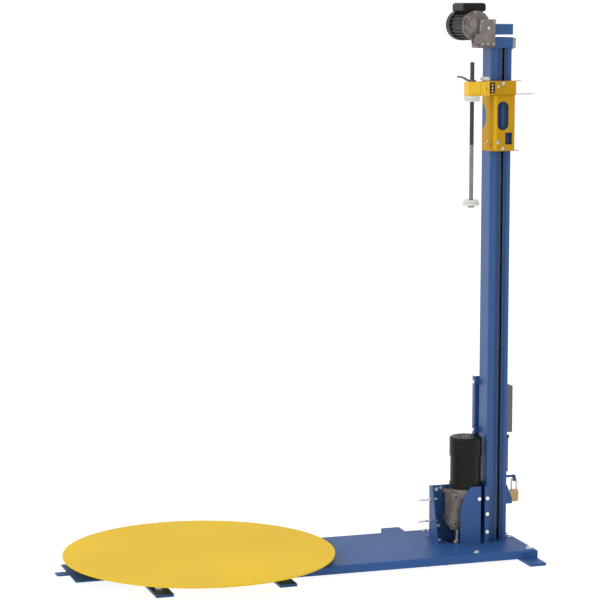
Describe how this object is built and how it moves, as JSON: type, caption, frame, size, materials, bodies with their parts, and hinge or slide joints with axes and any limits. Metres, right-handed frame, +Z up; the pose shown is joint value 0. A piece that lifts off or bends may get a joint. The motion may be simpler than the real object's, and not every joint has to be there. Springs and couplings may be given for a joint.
{
  "type": "turntable pallet wrapper",
  "caption": "Stretch wrapper for pallets: low powered turntable on a flat base and a slotted mast with a chain-lifted film carriage and mandrel.",
  "frame": {"origin": "on the floor, under the turntable's axis", "axes": "+Z up; +X from the turntable to the mast; +Y across, away from the film mandrel's side"},
  "size_m": [2.226, 1.2192, 2.532],
  "materials": {
    "base_blue": "satin powder coat",
    "frame_blue": "satin powder coat",
    "platform_yellow": "satin powder coat",
    "carriage_yellow": "satin powder coat",
    "mast_blue": "satin powder coat",
    "arm_yellow": "satin powder coat",
    "rim_black": "satin",
    "zinc_steel": "zinc plated",
    "machined_steel": "machined",
    "chain_steel": "oiled",
    "motor_black": "satin",
    "drive_casting": "painted casting",
    "lift_casting": "cast",
    "bearing_grey": "cast",
    "roller_steel": "zinc plated",
    "mandrel_dark": "black oxide",
    "mandrel_bright": "ground",
    "lever_steel": "satin",
    "plug_white": "moulded",
    "cabinet_grey": "satin",
    "button_green": "moulded",
    "button_black": "moulded",
    "button_red": "moulded",
    "padlock_brass": "satin"
  },
  "bodies": {
    "base": {"base_cover": "base_blue", "bracket_studs": "zinc_steel", "chain_pan": "chain_steel", "control_cabinet": "cabinet_grey", "control_panel": "frame_blue", "crossmember": "base_blue", "drive_bracket": "frame_blue", "drive_chain": "chain_steel", "frame_bolts": "zinc_steel", "front_gusset": "frame_blue", "head_bearing": "bearing_grey", "head_box": "frame_blue", "idler_axle": "machined_steel", "left_foot_bar": "base_blue", "lift_capacitor_box": "motor_black", "lift_chain": "chain_steel", "lift_gearbox": "lift_casting", "lift_motor": "motor_black", "lock_bracket": "frame_blue", "lower_box": "cabinet_grey", "mast_tube": "mast_blue", "middle_foot_bar": "base_blue", "pivot_foot_plate": "base_blue", "pivot_spindle": "machined_steel", "right_foot_bar": "base_blue", "roller_brackets": "roller_steel", "turntable_gearbox": "drive_casting", "turntable_motor": "motor_black", "turntable_motor_cowl": "motor_black", "turntable_subframe": "base_blue"},
    "turntable": {"turntable_disc": "platform_yellow", "turntable_rim": "rim_black", "turntable_hub": "machined_steel"},
    "drive_sprocket": {"drive_sprocket": "machined_steel"},
    "lift_shaft": {"lift_shaft": "machined_steel"},
    "idler_sprocket": {"idler_sprocket": "machined_steel"},
    "carriage": {"carriage_frame": "carriage_yellow", "chain_tongue": "frame_blue", "mandrel_arm": "arm_yellow", "mandrel_bar": "mandrel_dark", "mandrel_tube": "mandrel_bright"},
    "upper_plug": {"upper_plug": "plug_white"},
    "lower_plug": {"lower_plug": "plug_white"},
    "brake_lever": {"brake_lever": "lever_steel"},
    "clamp_knob": {"clamp_knob": "plug_white"},
    "control_door": {"control_door": "cabinet_grey"},
    "start_button": {"start_button": "button_green"},
    "stop_button": {"stop_button": "button_black"},
    "emergency_stop": {"emergency_stop": "button_red"},
    "power_switch": {"power_switch": "button_black"},
    "padlock": {"padlock_body": "padlock_brass", "padlock_shackle": "machined_steel"},
    "front_left_roller": {"front_left_roller": "roller_steel"},
    "rear_left_roller": {"rear_left_roller": "roller_steel"},
    "front_right_roller": {"front_right_roller": "roller_steel"},
    "rear_right_roller": {"rear_right_roller": "roller_steel"},
    "top_front_guide": {"top_front_guide": "roller_steel"},
    "top_rear_guide": {"top_rear_guide": "roller_steel"},
    "bottom_front_guide": {"bottom_front_guide": "roller_steel"},
    "bottom_rear_guide": {"bottom_rear_guide": "roller_steel"}
  },
  "joints": [
    {"name": "turntable_spin", "type": "hinge", "parent": "base", "child": "turntable", "pos_m": [0, 0, 0.08815], "axis": [0, 0, 1], "continuous": true},
    {"name": "front_left_roller_spin", "type": "hinge", "parent": "base", "child": "front_left_roller", "pos_m": [-0.252, -0.28, 0.07065], "axis": [-0.669, -0.7433, 0], "continuous": true},
    {"name": "rear_left_roller_spin", "type": "hinge", "parent": "base", "child": "rear_left_roller", "pos_m": [-0.252, 0.28, 0.07065], "axis": [-0.669, 0.7433, 0], "continuous": true},
    {"name": "front_right_roller_spin", "type": "hinge", "parent": "base", "child": "front_right_roller", "pos_m": [0.305, -0.28, 0.07065], "axis": [0.7367, -0.6763, 0], "continuous": true},
    {"name": "rear_right_roller_spin", "type": "hinge", "parent": "base", "child": "rear_right_roller", "pos_m": [0.305, 0.28, 0.07065], "axis": [0.7367, 0.6763, 0], "continuous": true},
    {"name": "drive_sprocket_spin", "type": "hinge", "parent": "base", "child": "drive_sprocket", "pos_m": [1.245, 0, 0.022], "axis": [0, 0, 1], "continuous": true},
    {"name": "carriage_lift", "type": "slide", "parent": "base", "child": "carriage", "axis": [0, 0, 1], "range_m": [-1.51, 0.06]},
    {"name": "lift_shaft_spin", "type": "hinge", "parent": "base", "child": "lift_shaft", "pos_m": [1.426, 0, 2.344], "axis": [1, 0, 0], "range_deg": [-126, 3041]},
    {"name": "idler_sprocket_spin", "type": "hinge", "parent": "base", "child": "idler_sprocket", "pos_m": [1.426, 0, 0.11], "axis": [1, 0, 0], "range_deg": [-126, 3041]},
    {"name": "top_front_guide_spin", "type": "hinge", "parent": "carriage", "child": "top_front_guide", "pos_m": [1.3896, -0.0591, 2.1485], "axis": [1, 0, 0], "range_deg": [-435, 10820]},
    {"name": "top_rear_guide_spin", "type": "hinge", "parent": "carriage", "child": "top_rear_guide", "pos_m": [1.432, 0.0591, 2.1485], "axis": [1, 0, 0], "range_deg": [-10820, 435]},
    {"name": "bottom_front_guide_spin", "type": "hinge", "parent": "carriage", "child": "bottom_front_guide", "pos_m": [1.3896, -0.0591, 1.897], "axis": [1, 0, 0], "range_deg": [-435, 10820]},
    {"name": "bottom_rear_guide_spin", "type": "hinge", "parent": "carriage", "child": "bottom_rear_guide", "pos_m": [1.432, 0.0591, 1.897], "axis": [1, 0, 0], "range_deg": [-10820, 435]},
    {"name": "upper_plug_spin", "type": "hinge", "parent": "carriage", "child": "upper_plug", "pos_m": [1.243, -0.128, 2.095], "axis": [0, 0, 1], "continuous": true},
    {"name": "lower_plug_spin", "type": "hinge", "parent": "carriage", "child": "lower_plug", "pos_m": [1.243, -0.128, 1.628], "axis": [0, 0, 1], "continuous": true},
    {"name": "brake_lever_turn", "type": "hinge", "parent": "carriage", "child": "brake_lever", "pos_m": [1.243, -0.128, 2.1825], "axis": [0, 0, 1], "range_deg": [-45, 45]},
    {"name": "clamp_knob_turn", "type": "hinge", "parent": "carriage", "child": "clamp_knob", "pos_m": [1.313, -0.108, 2.1825], "axis": [0, 0, 1], "range_deg": [-720, 0]},
    {"name": "control_door_swing", "type": "hinge", "parent": "base", "child": "control_door", "pos_m": [1.558, 0.1835, 0.532], "axis": [0, 0, -1], "range_deg": [0, 115]},
    {"name": "start_button_press", "type": "slide", "parent": "control_door", "child": "start_button", "axis": [0, -1, 0], "range_m": [0, 0.004], "stiffness_N_per_m": 500, "springref_m": -0.002},
    {"name": "stop_button_press", "type": "slide", "parent": "control_door", "child": "stop_button", "axis": [0, -1, 0], "range_m": [0, 0.004], "stiffness_N_per_m": 500, "springref_m": -0.002},
    {"name": "emergency_stop_press", "type": "slide", "parent": "control_door", "child": "emergency_stop", "axis": [0, -1, 0], "range_m": [0, 0.005], "stiffness_N_per_m": 500, "springref_m": -0.002},
    {"name": "power_switch_turn", "type": "hinge", "parent": "control_door", "child": "power_switch", "pos_m": [1.4725, 0.1925, 0.694], "axis": [0, 1, 0], "range_deg": [0, 90]},
    {"name": "padlock_swing", "type": "hinge", "parent": "base", "child": "padlock", "pos_m": [1.526, 0, 0.33], "axis": [1, 0, 0], "range_deg": [-60, 60]}
  ],
  "couplings": [
    {"joint": "front_left_roller_spin", "follows": "turntable_spin", "ratio": -21.901},
    {"joint": "rear_left_roller_spin", "follows": "turntable_spin", "ratio": -21.901},
    {"joint": "front_right_roller_spin", "follows": "turntable_spin", "ratio": -24.072},
    {"joint": "rear_right_roller_spin", "follows": "turntable_spin", "ratio": -24.072},
    {"joint": "drive_sprocket_spin", "follows": "turntable_spin", "ratio": 2.9231},
    {"joint": "lift_shaft_spin", "follows": "carriage_lift", "rad_per_m": -35.088},
    {"joint": "idler_sprocket_spin", "follows": "carriage_lift", "rad_per_m": -35.088},
    {"joint": "top_front_guide_spin", "follows": "carriage_lift", "rad_per_m": -125},
    {"joint": "top_rear_guide_spin", "follows": "carriage_lift", "rad_per_m": 125},
    {"joint": "bottom_front_guide_spin", "follows": "carriage_lift", "rad_per_m": -125},
    {"joint": "bottom_rear_guide_spin", "follows": "carriage_lift", "rad_per_m": 125}
  ]
}
